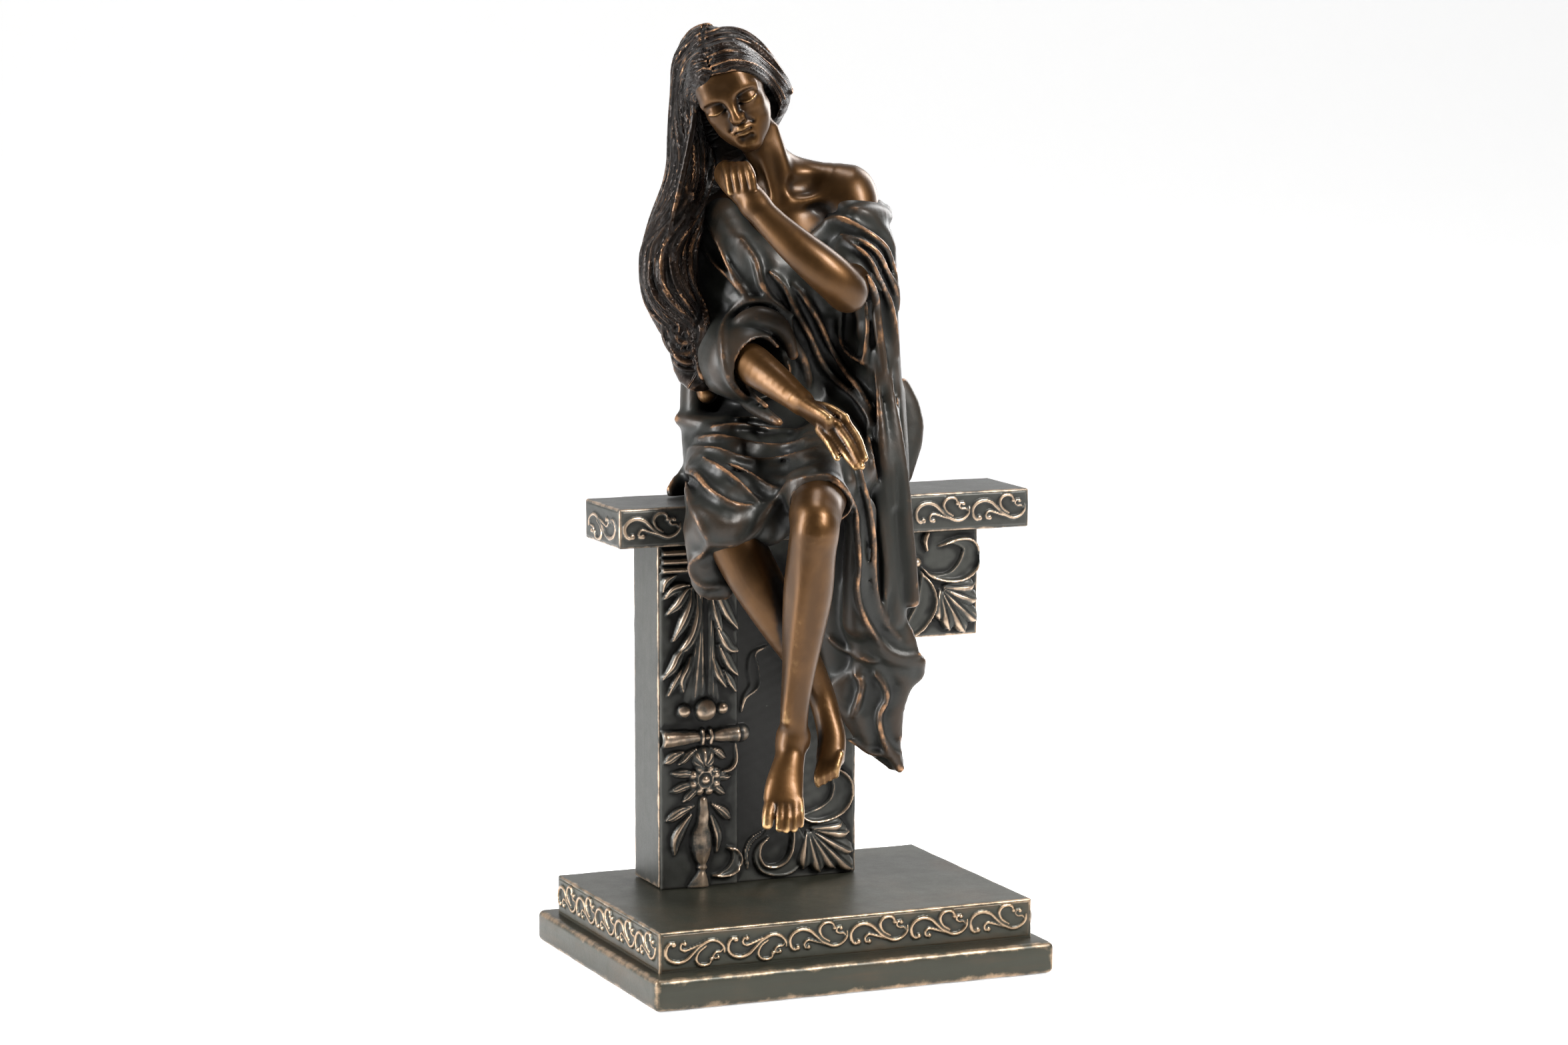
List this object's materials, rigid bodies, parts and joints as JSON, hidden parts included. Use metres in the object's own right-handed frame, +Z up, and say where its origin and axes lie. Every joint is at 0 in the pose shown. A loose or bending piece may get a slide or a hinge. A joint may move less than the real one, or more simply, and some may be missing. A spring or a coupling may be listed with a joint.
{
  "type": "resin woman figurine",
  "caption": "Cold-cast resin figurine of a robed woman sitting on a carved ledge, resting her cheek on one hand, on a stepped rectangular plinth.",
  "frame": {"origin": "middle of the plinth's underside", "axes": "+Z up; the ledge's carved face looks along -Y; +X to the right of someone facing it"},
  "size_m": [0.2084, 0.144, 0.3996],
  "materials": {
    "plinth": "dark olive-grey painted resin, worn copper along the edges",
    "ledge": "mid grey painted resin with copper brushed on the relief",
    "sitter": "bronze-look resin: warm bronze skin, charcoal robe with copper fold crests"
  },
  "bodies": {
    "root": {"plinth": "plinth", "ledge": "ledge", "sitter": "sitter"}
  },
  "joints": []
}
